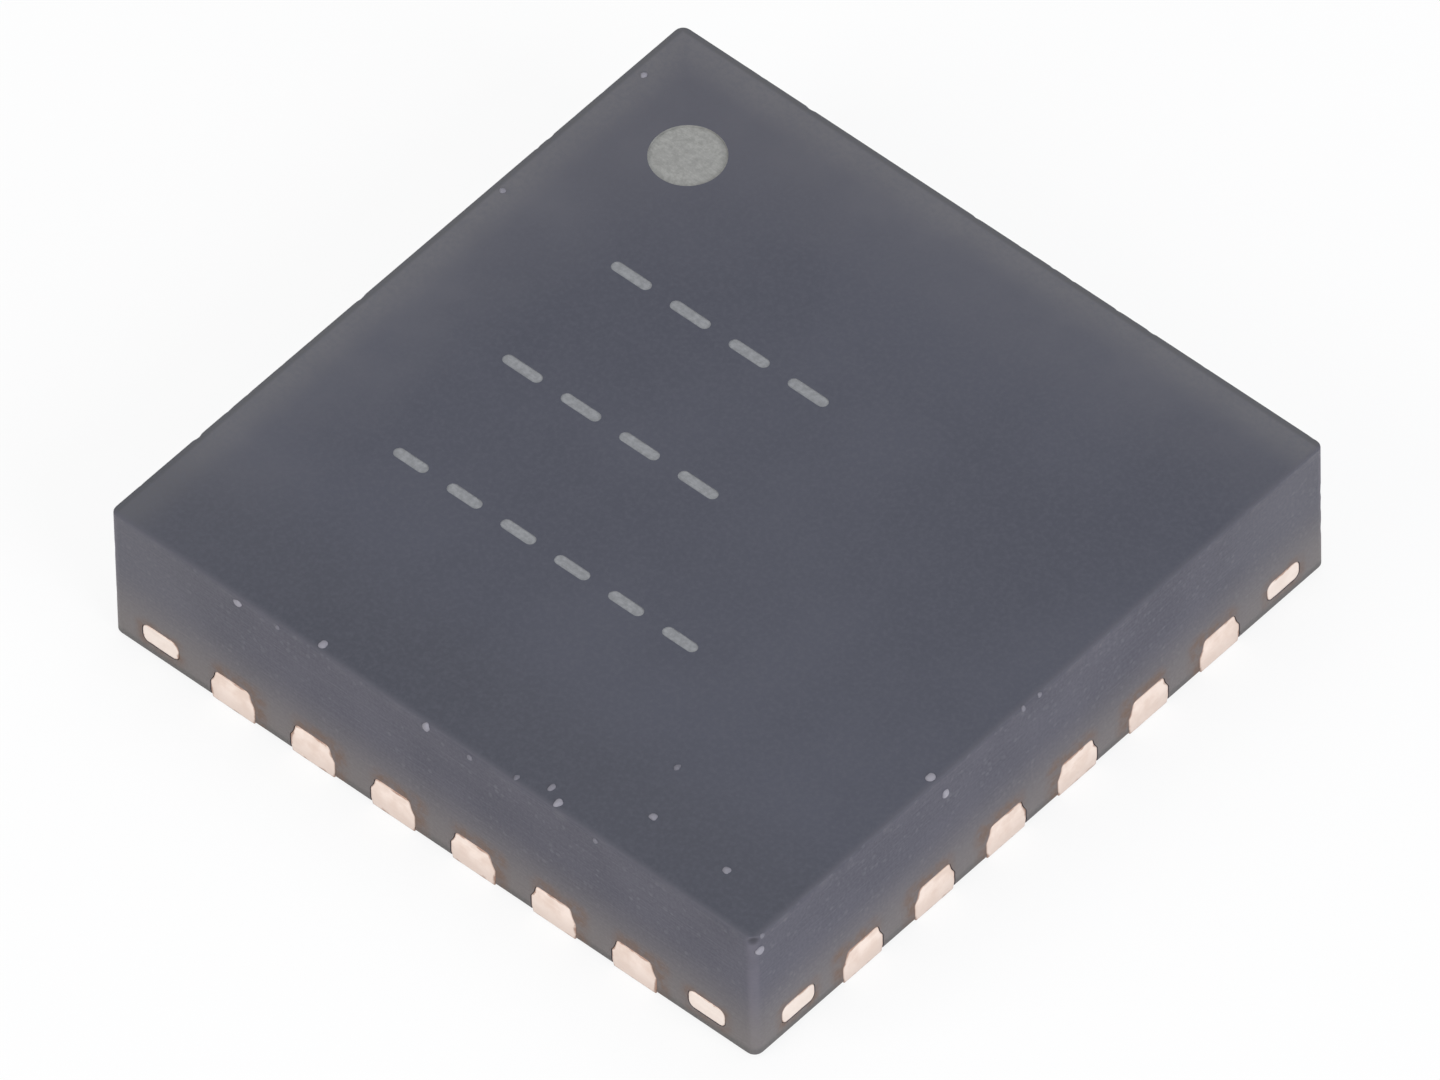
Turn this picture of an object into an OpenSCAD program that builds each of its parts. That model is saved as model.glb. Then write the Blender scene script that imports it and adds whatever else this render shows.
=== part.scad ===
// Quad flat no-lead chip package with 24 terminals. An etched copper lead frame carries a silicon
// die on its die pad, bond wires join the die to the terminals, and an epoxy body encloses them all.
// Millimetres. The seating plane is z = 0. Terminal 1 is on the -X wall, at its +Y end, and the
// terminals count anticlockwise from there when seen from above.

/* [Body] */
// Length and width of the sawn body
body_size = 4; // [3.9:0.05:4.3]
// Height of the top face above the seating plane
body_height = 0.85; // [0.8:0.01:1]
// Height of the moulded underside above the seating plane
stand_off = 0.02; // [0.01:0.005:0.04]
// Radius of the four upright edges
upright_radius = 0.05; // [0.01:0.01:0.08]
// Diameter of the pin-1 mark
dot_diameter = 0.38; // [0.2:0.02:0.5]
// Depth of the pin-1 mark
dot_depth = 0.012; // [0.005:0.001:0.03]
// Distance of the pin-1 mark's centre from the -X wall
dot_inset_x = 0.57; // [0.4:0.01:0.8]
// Distance of the pin-1 mark's centre from the +Y wall
dot_inset_y = 0.6; // [0.4:0.01:0.8]

/* [Terminals] */
// Terminals along each wall
leads_per_side = 6; // [5:1:6]
// Distance between neighbouring terminal centres
pitch = 0.5; // [0.44:0.01:0.5]
// Width of a terminal's foot on the seating plane
foot_width = 0.26; // [0.22:0.01:0.27]
// Width of the flat on top of a terminal
bond_flat_width = 0.22; // [0.18:0.01:0.23]
// Length of a terminal's foot, measured from the wall
foot_length = 0.4; // [0.34:0.01:0.42]
// How far the half-etched lip reaches inwards past the foot
lip_length = 0.07; // [0.03:0.01:0.08]

/* [Lead frame sheet] */
// Thickness of the copper sheet
sheet_thickness = 0.203; // [0.18:0.001:0.22]
// Height of half-etched undersides above the seating plane
half_etch_height = 0.085; // [0.08:0.005:0.11]
// Radius of the hollow that etching from above leaves along a terminal's side
upper_etch_radius = 0.15; // [0.14:0.01:0.2]
// Radius of the hollow that etching from below leaves along a terminal's side
lower_etch_radius = 0.06; // [0.04:0.005:0.07]
// How far the ridge between two etched hollows stands out past the foot
etch_ridge = 0.01; // [0.008:0.001:0.02]

/* [Die pad] */
// Length and width of the bare pad on the underside
pad_size = 2.6; // [2.3:0.05:2.65]
// Radius of the pad's plain corners
pad_corner_radius = 0.12; // [0.05:0.01:0.2]
// Leg of the bevel on the pad's pin-1 corner
pad_bevel = 0.3; // [0.2:0.02:0.4]
// How far the half-etched rim stands out past the bare pad
rim_width = 0.07; // [0.03:0.01:0.08]
// Width of the diagonal tie bars
tie_bar_width = 0.14; // [0.1:0.01:0.15]
// Distance of a tie-bar tip from the middle of its wall
tie_tip_offset = 1.7; // [1.68:0.01:1.75]
// Width of a tie-bar tip
tie_tip_width = 0.23; // [0.16:0.01:0.24]
// Rounding of a tie-bar tip's corners, as a part of its height
tie_tip_rounding = 0.35; // [0.2:0.05:0.45]

/* [Die] */
// Length of the die along X
die_length = 1.7; // [1.5:0.05:1.9]
// Width of the die along Y
die_width = 1.6; // [1.5:0.05:1.9]
// Thickness of the die
die_thickness = 0.2; // [0.15:0.01:0.25]
// Thickness of the adhesive under the die
bond_line = 0.025; // [0.015:0.005:0.04]
// How far the adhesive spreads past the die
attach_spread = 0.08; // [0.05:0.01:0.12]
// How far the adhesive climbs the die's sides
attach_climb = 0.07; // [0.04:0.01:0.1]
// Thickness of the adhesive at its upper edge
attach_edge = 0.01; // [0.005:0.001:0.02]

/* [Bond wires] */
// Diameter of the wire
wire_diameter = 0.025; // [0.02:0.001:0.03]
// Diameter of the ball that joins a wire to the die
ball_diameter = 0.065; // [0.05:0.005:0.08]
// Height of the ball
ball_height = 0.02; // [0.015:0.001:0.025]
// Height of the loop above the die
loop_height = 0.15; // [0.1:0.01:0.2]
// Distance of the balls from the edge of the die
ball_inset = 0.07; // [0.05:0.005:0.1]
// Distance between neighbouring balls
ball_pitch = 0.22; // [0.18:0.01:0.24]
// Length of the pressed joint on the terminal
stitch_length = 0.06; // [0.04:0.01:0.08]
// Distance of the pressed joint's end from the tip of the lip
stitch_setback = 0.14; // [0.12:0.01:0.18]

/* [Hidden] */
$fn = 48;
wall = body_size / 2;
lead_count = 4 * leads_per_side;
ridge_width = foot_width + 2 * etch_ridge;
end_radius = ridge_width / 2;
rim_size = pad_size + 2 * rim_width;
half_etch_thickness = sheet_thickness - half_etch_height;
tie_tip_radius = tie_tip_rounding * half_etch_thickness;
attach_top = sheet_thickness + bond_line;
die_top = attach_top + die_thickness;
wire_sides = 8;
wire_radius = wire_diameter / 2;
loop_steps = 8;
// A loop leaves its ball straight up, aiming for this many loop heights
loop_aim = 1.35;
// Its shoulder lies at this part of the span and this many loop heights above the die
shoulder_span = 0.4;
shoulder_rise = 1.1;
// Height of a wire ring's flat underside below its centre, for a ring of unit radius
ring_drop = cos(180 / wire_sides);
// The pressed end of a wire is this many times as wide and as high as the wire
stitch_spread = 1.8;
stitch_press = 0.4;

lead_names = [for (i = [1 : lead_count]) str("lead_", i)];
wire_names = [for (i = [1 : lead_count]) str("bond_wire_", i)];

// Wall that terminal i lies on, as quarter turns from the -X wall, counted anticlockwise
function side_of(i) = floor((i - 1) / leads_per_side);
// Place of terminal i along its wall, in steps from the middle
function step_of(i) = (leads_per_side - 1) / 2 - (i - 1) % leads_per_side;
// Half the die, measured towards the wall that terminal i lies on
function die_reach(i) = (side_of(i) % 2 == 0 ? die_length : die_width) / 2;
// Ball and pressed joint of wire i, in the frame of the -X wall
function ball_at(i) = [ball_inset - die_reach(i), step_of(i) * ball_pitch];
function stitch_at(i) = [foot_length + lip_length - stitch_setback - wall, step_of(i) * pitch];

// Point of a cubic curve with four control points
function curve_point(p, t) =
    pow(1 - t, 3) * p[0] + 3 * pow(1 - t, 2) * t * p[1] + 3 * (1 - t) * t * t * p[2] + pow(t, 3) * p[3];
// Direction of the same curve
function curve_slope(p, t) =
    3 * pow(1 - t, 2) * (p[1] - p[0]) + 6 * (1 - t) * t * (p[2] - p[1]) + 3 * t * t * (p[3] - p[2]);

// Control points of a wire's loop, in the upright plane of the wire, from the ball to the joint
function loop_controls(span) = [
    [0, die_top + ball_height],
    [0, die_top + ball_height + loop_aim * loop_height],
    [shoulder_span * span, die_top + shoulder_rise * loop_height],
    [span - stitch_length, sheet_thickness + wire_radius * ring_drop]
];
// Rings along a wire as [distance, height, tilt, half width, half height]
function loop_ring(p, t) =
    let (at = curve_point(p, t), dir = curve_slope(p, t))
    [at[0], at[1], t < 1 ? atan2(dir[1], dir[0]) : 0, wire_radius, wire_radius];
function wire_rings(span) = concat(
    [[0, die_top + ball_height / 2, 90, wire_radius, wire_radius]],
    [for (k = [0 : loop_steps]) loop_ring(loop_controls(span), k / loop_steps)],
    [[span, sheet_thickness + stitch_press * wire_radius * ring_drop, 0,
        stitch_spread * wire_radius, stitch_press * wire_radius]]
);
// Corner k of a ring, standing square to the wire
function ring_corner(ring, k) =
    let (turn = (k + 0.5) * 360 / wire_sides, rise = ring[4] * sin(turn))
    [ring[0] - rise * sin(ring[2]), ring[3] * cos(turn), ring[1] + rise * cos(ring[2])];

module rounded_rectangle(length, width, radius) {
    square([length, width - 2 * radius], center = true);
    square([length - 2 * radius, width], center = true);
    for (x = [-1, 1], y = [-1, 1])
        translate([x * (length / 2 - radius), y * (width / 2 - radius)])
            circle(radius);
}

// Cross-section of a terminal between two heights: hollow sides above and below a ridge
module etched_section(low, high) {
    difference() {
        translate([-ridge_width / 2, low])
            square([ridge_width, high - low]);
        for (s = [-1, 1]) {
            translate([s * (foot_width / 2 + lower_etch_radius), 0])
                circle(lower_etch_radius);
            translate([s * (bond_flat_width / 2 + upper_etch_radius), sheet_thickness])
                circle(upper_etch_radius);
        }
    }
}

// Bar along +X from the wall with a round end, made from a layer of the terminal's section
module etched_bar(length, low, high) {
    translate([-wall, 0, 0])
        rotate([90, 0, 90])
            linear_extrude(length - end_radius)
                etched_section(low, high);
    translate([length - end_radius - wall, 0, 0])
        rotate([0, 0, -90])
            rotate_extrude(angle = 180)
                intersection() {
                    etched_section(low, high);
                    square([ridge_width, sheet_thickness]);
                }
}

// Terminal i: a foot on the seating plane below a longer half-etched lip
module lead(i) {
    color("peru")
        rotate([0, 0, 90 * side_of(i)])
            translate([0, step_of(i) * pitch, 0]) {
                etched_bar(foot_length, 0, half_etch_height);
                etched_bar(foot_length + lip_length, half_etch_height, sheet_thickness);
            }
}

// Tie bar from the pad's +X +Y corner: a diagonal arm that forks to the two walls
module tie_bar() {
    translate([0, 0, half_etch_height])
        linear_extrude(half_etch_thickness) {
            rotate(45)
                translate([0, -tie_bar_width / 2])
                    square([tie_tip_offset * sqrt(2), tie_bar_width]);
            translate([tie_tip_offset, tie_tip_offset])
                circle(tie_tip_width / 2 - tie_tip_radius);
        }
    for (m = [0, 1])
        mirror([m, -m, 0])
            translate([tie_tip_offset, tie_tip_offset, half_etch_height + half_etch_thickness / 2])
                rotate([0, 0, 90])
                    rotate([90, 0, 90])
                        linear_extrude(wall - tie_tip_offset)
                            rounded_rectangle(tie_tip_width, half_etch_thickness, tie_tip_radius);
}

// Die pad: bare plate, half-etched rim and four tie bars etched from one sheet
module die_pad() {
    color("peru") {
        linear_extrude(half_etch_height)
            difference() {
                rounded_rectangle(pad_size, pad_size, pad_corner_radius);
                translate([-pad_size / 2, pad_size / 2])
                    rotate(45)
                        square(pad_bevel * sqrt(2), center = true);
            }
        translate([0, 0, half_etch_height])
            linear_extrude(half_etch_thickness)
                rounded_rectangle(rim_size, rim_size, pad_corner_radius);
        for (turn = [0 : 90 : 270])
            rotate([0, 0, turn])
                tie_bar();
    }
}

module die() {
    color("slategray")
        translate([-die_length / 2, -die_width / 2, attach_top])
            cube([die_length, die_width, die_thickness]);
}

// Sloping fillet of one direction of the adhesive, as an upright trapezium
module attach_slope(across) {
    polygon([
        [-across / 2 - attach_spread, 0],
        [across / 2 + attach_spread, 0],
        [across / 2 + attach_edge, bond_line + attach_climb],
        [-across / 2 - attach_edge, bond_line + attach_climb]
    ]);
}

// Adhesive: a layer under the die that climbs its sides
module die_attach() {
    reach = die_length + die_width;
    color("gainsboro")
        difference() {
            translate([0, 0, sheet_thickness])
                intersection() {
                    rotate([90, 0, 0])
                        linear_extrude(reach, center = true)
                            attach_slope(die_length);
                    rotate([90, 0, 90])
                        linear_extrude(reach, center = true)
                            attach_slope(die_width);
                }
            die();
        }
}

// Wire loop in its own upright plane, swept as flat-faced rings
module wire_loop(span) {
    rings = wire_rings(span);
    last = len(rings) - 1;
    n = wire_sides;
    points = [for (ring = rings, k = [0 : n - 1]) ring_corner(ring, k)];
    sides = [for (r = [0 : last - 1], k = [0 : n - 1], half = [0, 1])
        half == 0
            ? [r * n + k, (r + 1) * n + k, r * n + (k + 1) % n]
            : [r * n + (k + 1) % n, (r + 1) * n + k, (r + 1) * n + (k + 1) % n]];
    first_cap = [[for (k = [0 : n - 1]) k]];
    last_cap = [[for (k = [n - 1 : -1 : 0]) last * n + k]];
    polyhedron(points, concat(sides, first_cap, last_cap));
}

// Pressed ball under the start of a wire
module wire_ball() {
    rotate_extrude() {
        square([(ball_diameter - ball_height) / 2, ball_height]);
        intersection() {
            translate([(ball_diameter - ball_height) / 2, ball_height / 2])
                circle(ball_height / 2);
            translate([(ball_diameter - ball_height) / 2, 0])
                square(ball_height);
        }
    }
}

// Bond wire i, from its ball on the die to its pressed joint on terminal i
module bond_wire(i) {
    way = stitch_at(i) - ball_at(i);
    color("gold")
        rotate([0, 0, 90 * side_of(i)])
            translate([ball_at(i)[0], ball_at(i)[1], 0]) {
                translate([0, 0, die_top])
                    wire_ball();
                rotate([0, 0, atan2(way[1], way[0])])
                    wire_loop(norm(way));
            }
}

// Body: a sawn block that fills every space around the pieces inside it
module mould_body() {
    color("dimgray")
        difference() {
            translate([0, 0, stand_off])
                linear_extrude(body_height - stand_off)
                    rounded_rectangle(body_size, body_size, upright_radius);
            translate([dot_inset_x - wall, wall - dot_inset_y, body_height - dot_depth])
                cylinder(d = dot_diameter, h = 2 * dot_depth);
            die_pad();
            die_attach();
            die();
            for (i = [1 : lead_count]) {
                lead(i);
                bond_wire(i);
            }
        }
}

mould_body();
die_pad();
die_attach();
die();
for (i = [1 : lead_count]) {
    lead(i);
    bond_wire(i);
}
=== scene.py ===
"""Visual model of a quad flat no-lead chip: a sawn epoxy body with copper terminals, on a pale floor."""
import math
import random

import bmesh
import bpy
import numpy as np
from mathutils import Matrix, Vector


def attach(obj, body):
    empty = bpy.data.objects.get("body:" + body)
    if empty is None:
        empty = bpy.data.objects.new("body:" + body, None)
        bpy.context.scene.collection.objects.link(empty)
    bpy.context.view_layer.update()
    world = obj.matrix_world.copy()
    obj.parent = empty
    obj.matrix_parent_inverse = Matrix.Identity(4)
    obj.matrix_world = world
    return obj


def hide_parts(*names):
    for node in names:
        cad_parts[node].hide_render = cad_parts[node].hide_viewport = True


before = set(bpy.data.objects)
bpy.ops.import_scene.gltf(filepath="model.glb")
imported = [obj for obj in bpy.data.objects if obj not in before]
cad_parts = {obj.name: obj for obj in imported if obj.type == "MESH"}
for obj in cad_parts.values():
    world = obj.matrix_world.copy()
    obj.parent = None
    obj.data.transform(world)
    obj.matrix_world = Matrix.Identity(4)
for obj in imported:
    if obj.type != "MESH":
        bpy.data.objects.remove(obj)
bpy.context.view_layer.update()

# Lengths are in millimetres until a mesh is finished, then in metres
MM = 0.001
# Keeps divisors away from zero
TINY = 1e-9

# Body
HALF = 2.0
TOP = 0.85
UNDER = 0.02
UPRIGHT_RADIUS = 0.05
TOP_RIM_RADIUS = 0.012
UNDER_RIM_RADIUS = 0.004

# Pin-1 mark
DOT_CENTRE = (-1.43, 1.4)
DOT_RADIUS = 0.19
DOT_DEPTH = 0.012
DOT_STEPS = 72

# Laser-scribed dashes on the top: left and right end of each row, its y, and the number of dashes in it
MARK_ROWS = ((-1.25, 0.09, 0.67, 4), (-1.25, 0.08, -0.09, 4), (-1.25, 0.63, -0.85, 6))
DASH_WIDTH = 0.06
DASH_GAP = 0.13
DASH_DEPTH = 0.004
DASH_END_STEPS = 8

# Grid lines of the block, as distances from a wall or the top and as distances from the underside
EDGE_LINES = (0.0, 0.003, 0.006, 0.009, 0.012, 0.018, 0.025, 0.034, 0.05, 0.075, 0.1)
UNDER_LINES = (0, 0.002, 0.004, 0.012)
# Even grid lines between those: their step along a wall, and the lowest height and the number up a wall
EVEN_STEP = 0.02
EVEN_LOWEST = 0.06
EVEN_HEIGHTS = 14
# Cells between a wall and the plain sheet in the middle of the top and of the underside
TOP_CELLS = len(EDGE_LINES) - 1
UNDER_CELLS = 5
# Vertices of the cut body that lie closer than this are one
WELD = 0.00005

# Chip that is broken out of the front corner, and the way that it presses the surface
CHIP_CENTRE = (1.988, -1.982, 0.822)
CHIP_RADIUS = 0.036
CHIP_DEPTH = 0.016
CHIP_WAY = (-1, 1, -0.3)

# Saw nicks along each edge of the top: number, least radius and the most that is added to it, depth as a
# part of the radius, and how far inside the edge their centres lie
NICK_SEED = 24
RIM_NICKS = 16
RIM_NICK_RADIUS = 0.008
RIM_NICK_GROWTH = 0.02
RIM_NICK_DEPTH = (0.08, 0.25)
RIM_NICK_INSET = 0.003
# The same along each upright edge, and how far from its ends they stay
UPRIGHT_NICKS = 4
UPRIGHT_NICK_RADIUS = (0.012, 0.024)
UPRIGHT_NICK_DEPTH = (0.08, 0.2)
UPRIGHT_NICK_INSET = 0.015
UPRIGHT_NICK_END = 0.1

# Lead frame
SHEET = 0.203
HALF_ETCH = 0.085
PITCH = 0.5
LEADS_PER_SIDE = 6
LEAD_NUMBERS = range(1, 4 * LEADS_PER_SIDE + 1)
FOOT_WIDTH = 0.26
RIDGE_WIDTH = 0.28
BOND_FLAT_WIDTH = 0.22
FOOT_LENGTH = 0.4
LIP_LENGTH = 0.07
UPPER_ETCH_RADIUS = 0.15
LOWER_ETCH_RADIUS = 0.06
PAD_SIZE = 2.6
PAD_CORNER_RADIUS = 0.12
PAD_CORNER_STEPS = 8
PAD_BEVEL = 0.3
RIM_SIZE = 2.74
TIE_BAR_WIDTH = 0.14
TIE_TIP_OFFSET = 1.7
TIE_TIP_WIDTH = 0.23
TIE_TIP_RADIUS = 0.35 * (SHEET - HALF_ETCH)
# Rounding of the terminals' upper corners and of the sawn copper ends, and the hairline gap to the epoxy
UPPER_CORNER = 0.022
SAWN_EDGE = 0.007
HAIRLINE = 0.002
# How far the brown rim of a sawn copper end reaches in from its outline
RIM_REACH = 3 * SAWN_EDGE
# How far a cutter reaches out through a wall
REACH = 0.06
# Points across a terminal's sawn end and a tip's, and steps round a terminal's inner end
LEAD_END_POINTS = 15
TIP_END_POINTS = 11
LEAD_ARC_STEPS = 20
# Slices of a terminal below and above its half-etched ledge, and of the tie bars
FOOT_SLICES = 11
LIP_SLICES = 17
TIE_SLICES = 15
# How strongly points and slices crowd towards both ends of their row
CROWDING = 2.2

# Dust specks as two coordinates on their face, radius and paleness
TOP_DUST = (
    (-1.92, 1.64, 0.018, 0.6), (-1.94, 0.67, 0.017, 0.4), (-0.7, -1.955, 0.023, 0.6),
    (0.765, -1.96, 0.023, 0.7), (0.68, -1.91, 0.019, 0.3), (0.515, -1.97, 0.016, 0.1),
    (1.15, -1.735, 0.02, 0.45), (1.035, -1.44, 0.018, 0.1), (1.62, -1.755, 0.02, 0.4),
    (1.96, -0.72, 0.024, 0.7),
)
LEFT_WALL_DUST = (
    (-1.195, 0.81, 0.023, 0.8), (-0.945, 0.825, 0.013, 0.2), (-0.02, 0.825, 0.025, 0.7),
    (0.25, 0.815, 0.016, 0.2), (1.03, 0.82, 0.016, 0.2),
)
RIGHT_WALL_DUST = (
    (-0.665, 0.72, 0.024, 1.0), (-1.955, 0.75, 0.026, 0.8), (-0.12, 0.838, 0.016, 0.3),
    (-0.005, 0.836, 0.014, 0.3), (-1.935, 0.838, 0.014, 0.25),
)
# Origin and the two axes of each dusty face, with its specks
DUSTY_FACES = (
    ((0, 0, TOP), (1, 0, 0), (0, 1, 0), TOP_DUST),
    ((0, -HALF, 0), (1, 0, 0), (0, 0, 1), LEFT_WALL_DUST),
    ((HALF, 0, 0), (0, 1, 0), (0, 0, 1), RIGHT_WALL_DUST),
)
DUST_SEED = 7
DUST_DETAIL = 3
# How high a speck stands and how deep it sinks in, as parts of its radius and of its height
DUST_RISE = 0.6
DUST_SINK = 0.1
# Range of a speck's width against its length, range of its phase, and height of its two sets of lumps
DUST_SQUASH = (0.85, 1.15)
DUST_PHASE = (0, 6)
DUST_LUMPS = (0.1, 0.08)

# Edges that are sharper than these angles in degrees stay sharp
BODY_SHARP = 35
COPPER_SHARP = 40
DUST_SHARP = 60

# Faces of the body within this distance of a wall belong to its edge
EDGE_STRIP = 0.05
# The sawn finish starts this far below the top, on faces that lie flat and on steep ones
FLAT_FINISH_DROP = 0.006
STEEP_FINISH_DROP = 0.002
STEEP_SLOPE = 0.6


def arc(x, y, radius, start, turn, steps):
    """Points along an arc round (x, y), both ends included. Angles are in degrees."""
    angles = [math.radians(start + turn * k / steps) for k in range(steps + 1)]
    return [(x + radius * math.cos(a), y + radius * math.sin(a)) for a in angles]


def hollow(depth, radius):
    """How far a round hollow has widened a bar at this depth below its edge."""
    return radius - math.sqrt(max(radius * radius - depth * depth, 0.0))


def terminal_half(z):
    """Half the width of a terminal at height z: etched hollows above and below a ridge."""
    half = min(RIDGE_WIDTH, BOND_FLAT_WIDTH + 2 * hollow(SHEET - z, UPPER_ETCH_RADIUS))
    if z < LOWER_ETCH_RADIUS:
        half = min(half, FOOT_WIDTH + 2 * hollow(z, LOWER_ETCH_RADIUS))
    return half / 2 - hollow(max(z - SHEET + UPPER_CORNER, 0.0), UPPER_CORNER)


def tip_half(z):
    """Half the width of a round-cornered tie-bar tip at height z."""
    past = max(HALF_ETCH + TIE_TIP_RADIUS - z, z - SHEET + TIE_TIP_RADIUS, 0.0)
    return TIE_TIP_WIDTH / 2 - hollow(min(past, TIE_TIP_RADIUS), TIE_TIP_RADIUS)


def rounded_back(distance):
    """How far a sawn face falls back at this distance from its outline."""
    if distance >= SAWN_EDGE:
        return 0.0
    return hollow(SAWN_EDGE - max(distance, 0.0), SAWN_EDGE)


def spread(count):
    """Values from -1 to 1, crowded towards both ends."""
    out = []
    for k in range(count):
        t = 2 * k / (count - 1) - 1
        out.append(math.copysign(1 - (1 - abs(t)) ** CROWDING, t) if abs(t) < 1 else t)
    return out


def heights(low, high, count):
    """Heights from low to high, crowded towards both."""
    return [low + (high - low) * (v + 1) / 2 for v in spread(count)]


def sawn_row(half, low, z, count, sawn):
    """Points across a copper end at height z, as place across it, fall-back and rim value."""
    row = []
    for v in spread(count):
        inside = min(half * (1 - abs(v)), z - low, SHEET - z)
        back = rounded_back(inside) if sawn else 0.0
        row.append((half * v, back, max(0.0, 1 - inside / RIM_REACH)))
    return row


class Shell:
    """Collects the vertices and faces of one mesh, with a rim value for each vertex."""

    def __init__(self):
        self.verts = []
        self.faces = []
        self.rims = []

    def add(self, points, rims=None):
        """Adds vertices and returns their numbers."""
        start = len(self.verts)
        self.verts += [tuple(p) for p in points]
        self.rims += list(rims) if rims else [0.0] * len(points)
        return list(range(start, len(self.verts)))

    def join(self, a, b):
        """Side faces between two closed rings of the same count."""
        n = len(a)
        self.faces += [(a[k], a[(k + 1) % n], b[(k + 1) % n], b[k]) for k in range(n)]

    def mesh(self, name):
        """A Blender mesh of what has been added."""
        made = bpy.data.meshes.new(name)
        made.from_pydata(self.verts, [], self.faces)
        values = made.attributes.new("rim", "FLOAT", "POINT")
        values.data.foreach_set("value", self.rims)
        made.validate()
        return made


def lead_shell(shell, place, wall=HALF, grow=0.0, sawn=True):
    """One terminal as a stack of bullet-shaped slices: a foot below a longer half-etched lip."""
    foot_centre = FOOT_LENGTH + grow - RIDGE_WIDTH / 2 - HALF
    lip_centre = foot_centre + LIP_LENGTH

    def half_at(z):
        return terminal_half(min(z, SHEET)) + grow

    def wall_end(z):
        """Points and rims of a slice's end at the wall."""
        row = sawn_row(half_at(z), 0.0, z, LEAD_END_POINTS, sawn)
        return [(back - wall, -across, z) for across, back, _ in row], [rim for _, _, rim in row]

    def round_end(z, centre):
        """Points of a slice's inner end."""
        return [(x, y, z) for x, y in arc(centre, 0.0, half_at(z), -90, 180, LEAD_ARC_STEPS)]

    def ring(points, rims):
        """Adds a slice. Points past the end of the rims lie inside the body and have none."""
        rims = rims + [0.0] * (len(points) - len(rims))
        return shell.add([place @ Vector(p) for p in points], rims)

    lower = []
    for z in heights(0.0, HALF_ETCH, FOOT_SLICES):
        points, rims = wall_end(z)
        lower.append(ring(points + round_end(z, foot_centre), rims))
    seam = lower[-1]
    ledge = ring(round_end(HALF_ETCH, lip_centre), [])
    for k in range(LEAD_ARC_STEPS):
        s = LEAD_END_POINTS + k
        shell.faces.append((seam[s], seam[s + 1], ledge[k + 1], ledge[k]))
    upper = [seam[:LEAD_END_POINTS + 1] + ledge + seam[-1:]]
    for z in heights(HALF_ETCH, SHEET + grow, LIP_SLICES)[1:]:
        points, rims = wall_end(z)
        before = (foot_centre, -half_at(z), z)
        after = (foot_centre, half_at(z), z)
        upper.append(ring([*points, before, *round_end(z, lip_centre), after], rims))
    for stack in (lower, upper):
        for a, b in zip(stack, stack[1:]):
            shell.join(a, b)
    shell.faces.append(tuple(reversed(lower[0])))
    shell.faces.append(tuple(upper[-1]))


def lead_place(i):
    """Turn and shift of terminal i from the middle of the -X wall."""
    side, k = divmod(i - 1, LEADS_PER_SIDE)
    step = (LEADS_PER_SIDE - 1) / 2 - k
    return Matrix.Rotation(math.radians(90 * side), 4, "Z") @ Matrix.Translation((0, step * PITCH, 0))


def tie_outline(z, wall, grow, sawn):
    """Points and rims of the forked tie bar at the +X +Y corner, at height z, anticlockwise."""
    off = TIE_TIP_OFFSET
    half = tip_half(min(max(z, HALF_ETCH), SHEET)) + grow
    arm = TIE_BAR_WIDTH / math.sqrt(2) + grow
    root = RIM_SIZE / 2 + grow
    row = sawn_row(half, HALF_ETCH, z, TIP_END_POINTS, sawn)
    tip = [(wall - back, off + across) for across, back, _ in row]
    tip_rims = [rim for _, _, rim in row]
    points = [(root, root - arm), (off, off - arm), (off, off - half)]
    points += tip + [(off + half, off + half)] + [(y, x) for x, y in reversed(tip)]
    points += [(off - half, off), (off - arm, off), (root - arm, root)]
    arm_rims = [0.0] * 3
    return points, arm_rims + tip_rims + [0.0] + tip_rims[::-1] + arm_rims


def pad_outline(grow):
    """Outline of the bare pad, anticlockwise: round corners, and a bevel towards terminal 1."""
    half = PAD_SIZE / 2 + grow
    inner = half - PAD_CORNER_RADIUS
    points = arc(inner, inner, PAD_CORNER_RADIUS, 0, 90, PAD_CORNER_STEPS)
    points += [(-half + PAD_BEVEL, half), (-half, half - PAD_BEVEL)]
    points += arc(-inner, -inner, PAD_CORNER_RADIUS, 180, 90, PAD_CORNER_STEPS)
    points += arc(inner, -inner, PAD_CORNER_RADIUS, 270, 90, PAD_CORNER_STEPS)
    return points


def pad_mesh(name, wall=HALF, grow=0.0, sawn=True):
    """Die pad: bare plate below, half-etched rim and four forked tie bars above."""
    shell = Shell()
    low = pad_outline(grow)
    rings = [shell.add([(x, y, z) for x, y in low]) for z in (0.0, HALF_ETCH - grow)]
    shell.join(*rings)
    shell.faces.append(tuple(reversed(rings[0])))
    uppers = []
    for z in heights(HALF_ETCH - grow, SHEET + grow, TIE_SLICES):
        points, rims = tie_outline(z, wall, grow, sawn)
        ring = []
        for quarter in range(4):
            turn = Matrix.Rotation(math.radians(90 * quarter), 3, "Z")
            ring += shell.add([turn @ Vector((x, y, z)) for x, y in points], rims)
        uppers.append(ring)
    for a, b in zip(uppers, uppers[1:]):
        shell.join(a, b)
    shell.faces.append(tuple(uppers[-1]))
    made = shell.mesh(name)
    fill_ledge(made, rings[1], uppers[0])
    return made


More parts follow.
